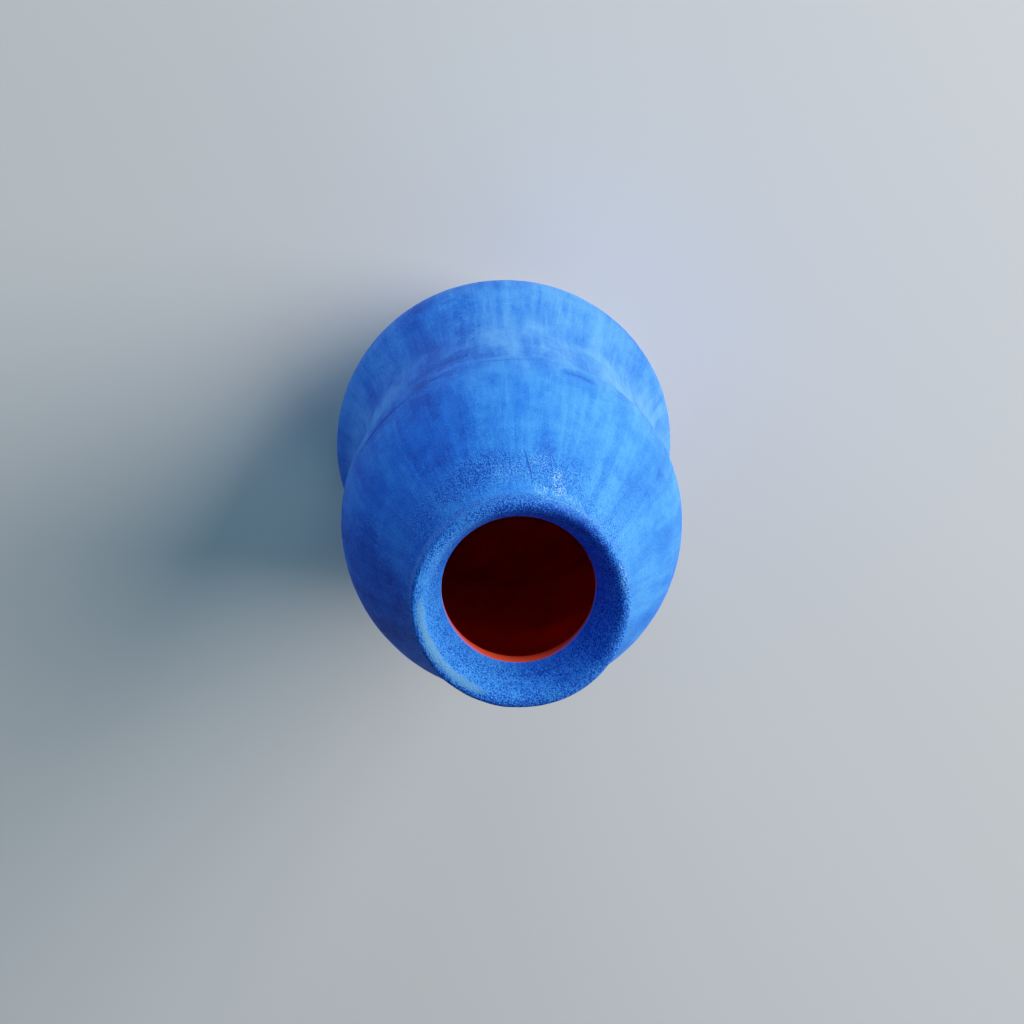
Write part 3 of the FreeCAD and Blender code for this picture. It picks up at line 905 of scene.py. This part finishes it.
# Directions are in degrees in the row frame, distances and sizes in metres, powers in watts
Lamp = namedtuple("Lamp", "name azimuth elevation distance size power tint")
LAMPS = [
    Lamp("key_light", 206, 17, 0.9, 1.0, 23.4, (0.98, 0.99, 1.0)),
    Lamp("top_light", 265, 17, 1.1, 0.7, 4.4, (0.50, 0.82, 1.0)),
    Lamp("fill_light", 327, 22, 1.3, 0.7, 2.45, (0.22, 0.66, 1.0)),
    Lamp("front_light", 135, 40, 1.2, 0.6, 1.6, (0.60, 0.84, 1.0)),
]
AIM_HEIGHT = 0.06
ROOM_TINT = colour(0.50, 0.76, 1.0)
ROOM_STRENGTH = 0.034

# The camera's place from the middle of the mouth, in millimetres along its own axes
CAMERA_TILT = math.radians(18.53)
CAMERA_SLANT = math.radians(1.98)
CAMERA_RIGHT = -1.509
CAMERA_UP = 16.909
CAMERA_BACK = 608.35
SENSOR_WIDTH = 36.0
FOCAL_LENGTH = 119.53
CLIP_NEAR, CLIP_FAR = 0.01, 100.0

# The tone curve: the scene light that shows as white, and pairs of scene light and shown level
BRIGHTEST = 2.4
TONES = ((0.42, 0.42), (1.0, 0.73), (1.6, 0.93))


def make_floor():
    """A plain round floor at the height that the vase stands on."""
    turn = np.linspace(0, 2 * math.pi, FLOOR_SIDES, endpoint=False)
    corners = [(FLOOR_RADIUS * math.cos(a), FLOOR_RADIUS * math.sin(a), 0.0) for a in turn]
    mesh = bpy.data.meshes.new("floor")
    mesh.from_pydata(corners, [], [list(range(len(corners)))])
    mesh.materials.append(floor_material())
    floor = bpy.data.objects.new("floor", mesh)
    bpy.context.scene.collection.objects.link(floor)


def soft_light(lamp):
    """A round soft light that looks at the vase."""
    data = bpy.data.lights.new(lamp.name, "AREA")
    data.shape = "DISK"
    data.size = lamp.size
    data.energy = lamp.power
    data.color = lamp.tint
    across = math.radians(lamp.azimuth)
    above = math.radians(lamp.elevation)
    way = Vector(
        (math.cos(across) * math.cos(above), math.sin(across) * math.cos(above), math.sin(above))
    )
    holder = bpy.data.objects.new(lamp.name, data)
    holder.location = Vector((0, 0, AIM_HEIGHT)) + way * lamp.distance
    holder.rotation_mode = "QUATERNION"
    holder.rotation_quaternion = way.to_track_quat("Z", "Y")
    bpy.context.scene.collection.objects.link(holder)


def make_light():
    """A broad key from one side, three weak lights from the others, and a dim bluish room."""
    for lamp in LAMPS:
        soft_light(lamp)
    world = bpy.data.worlds.new("room")
    world.use_nodes = True
    background = world.node_tree.nodes["Background"]
    background.inputs["Color"].default_value = ROOM_TINT
    background.inputs["Strength"].default_value = ROOM_STRENGTH
    bpy.context.scene.world = world


def make_camera():
    """The camera looks down into the mouth, tilted and slanted a little off the vase's axis."""
    across = math.cos(CAMERA_SLANT)
    back = Vector(
        (math.sin(CAMERA_SLANT), -across * math.sin(CAMERA_TILT), across * math.cos(CAMERA_TILT))
    )
    up = Vector((0, -math.cos(CAMERA_TILT), -math.sin(CAMERA_TILT)))
    right = up.cross(back).normalized()
    up = back.cross(right).normalized()
    mouth = Vector((0, 0, HEIGHT))
    location = (mouth + right * CAMERA_RIGHT + up * CAMERA_UP + back * CAMERA_BACK) * MM
    data = bpy.data.cameras.new("photo_camera")
    data.sensor_width = SENSOR_WIDTH
    data.lens = FOCAL_LENGTH
    data.clip_start = CLIP_NEAR
    data.clip_end = CLIP_FAR
    camera = bpy.data.objects.new("photo_camera", data)
    facing = Matrix((right, up, back)).transposed().to_4x4()
    camera.matrix_world = Matrix.Translation(location) @ facing
    bpy.context.scene.collection.objects.link(camera)
    bpy.context.scene.camera = camera


def develop():
    """A camera's tone curve: straight in the shade, and easing off towards white."""
    view = bpy.context.scene.view_settings
    view.view_transform = "Standard"
    view.use_curve_mapping = True
    curves = view.curve_mapping
    curves.white_level = (BRIGHTEST, BRIGHTEST, BRIGHTEST)
    tone = curves.curves[3].points
    for light, shown in TONES:
        tone.new(light / BRIGHTEST, shown)
    curves.update()


make_clay_body(clay_material())
make_outer_glaze(outer_material())
make_inner_glaze(inner_material())
make_floor()
make_light()
make_camera()
develop()
